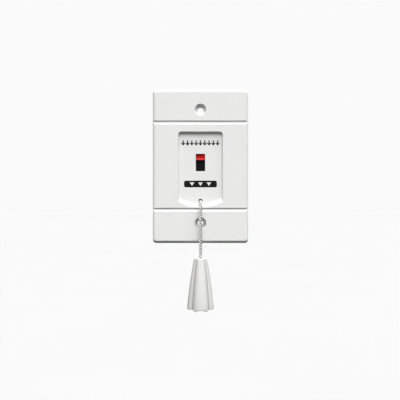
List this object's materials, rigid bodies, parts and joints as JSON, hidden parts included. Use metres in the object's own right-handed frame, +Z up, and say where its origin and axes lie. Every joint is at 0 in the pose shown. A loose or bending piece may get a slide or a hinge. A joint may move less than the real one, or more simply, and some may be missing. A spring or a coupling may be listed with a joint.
{
  "type": "pull cord switch",
  "caption": "White single-gang wall station with a recessed window over a latching slide switch, worked by a hanging cord with a lobed bell pendant.",
  "frame": {"origin": "on the wall plane, at the middle of the wall plate", "axes": "+Z up, the front of the plate faces -Y, +X to the right seen from the front, +Y into the wall box"},
  "size_m": [0.07, 0.0382, 0.1619],
  "materials": {
    "plate_plastic": "satin moulded ABS",
    "pendant_plastic": "satin moulded plastic",
    "red_plastic": "glossy moulded plastic",
    "black_plastic": "satin moulded plastic",
    "steel": "plated sheet steel",
    "screw_steel": "zinc plated",
    "brass": "bright brass",
    "tin": "tinned metal",
    "copper": "copper alloy",
    "phenolic": "laminated phenolic board",
    "board": "solder mask over glass board",
    "block_plastic": "moulded nylon",
    "nylon": "dark moulded nylon",
    "cord": "twisted cord"
  },
  "bodies": {
    "root": {"wall_plate": "plate_plastic", "switch_frame": "steel", "switch_base": "phenolic", "terminal_upper_left": "tin", "terminal_upper_right": "tin", "terminal_middle_left": "tin", "terminal_middle_right": "tin", "terminal_lower_left": "tin", "terminal_lower_right": "tin", "circuit_board": "board", "board_screw_lower_left": "screw_steel", "board_screw_lower_right": "screw_steel", "board_screw_upper_left": "screw_steel", "board_screw_upper_right": "screw_steel", "terminal_block": "block_plastic", "wire_clamp_1": "brass", "clamp_screw_1": "screw_steel", "wire_clamp_2": "brass", "clamp_screw_2": "screw_steel", "wire_clamp_3": "brass", "clamp_screw_3": "screw_steel", "cord_guide": "nylon"},
    "slider": {"red_lug": "red_plastic", "indicator_shutter": "black_plastic", "slide_carriage": "black_plastic", "bridging_contact_left": "copper", "bridging_contact_right": "copper", "contact_spring_left": "steel", "contact_spring_right": "steel", "cord_ferrule": "brass", "inner_cord": "cord"},
    "cord_exit": {"cord_bend": "cord"},
    "hanging_cord": {"pull_cord": "cord"},
    "cord_end": {"pendant_knot": "cord"},
    "pendant": {"pendant": "pendant_plastic"}
  },
  "joints": [
    {"name": "slide_travel", "type": "slide", "parent": "root", "child": "slider", "axis": [0, 0, -1], "range_m": [0, 0.0075], "deforming": ["inner_cord"]},
    {"name": "cord_swing_side", "type": "hinge", "parent": "root", "child": "cord_exit", "pos_m": [0, -0.006, -0.02615], "axis": [0, 1, 0], "range_deg": [-30, 30]},
    {"name": "cord_swing_out", "type": "hinge", "parent": "cord_exit", "child": "hanging_cord", "pos_m": [0, -0.0107, -0.03115], "axis": [-1, 0, 0], "range_deg": [0, 60], "deforming": ["cord_bend"]},
    {"name": "cord_pay_out", "type": "slide", "parent": "hanging_cord", "child": "cord_end", "axis": [0, 0, -1], "range_m": [0, 0.0075], "deforming": ["pull_cord"]},
    {"name": "pendant_turn", "type": "hinge", "parent": "cord_end", "child": "pendant", "pos_m": [0, -0.0107, -0.0672], "axis": [0, 0, 1], "continuous": true}
  ],
  "couplings": [
    {"joint": "cord_pay_out", "follows": "slide_travel", "ratio": 1}
  ]
}
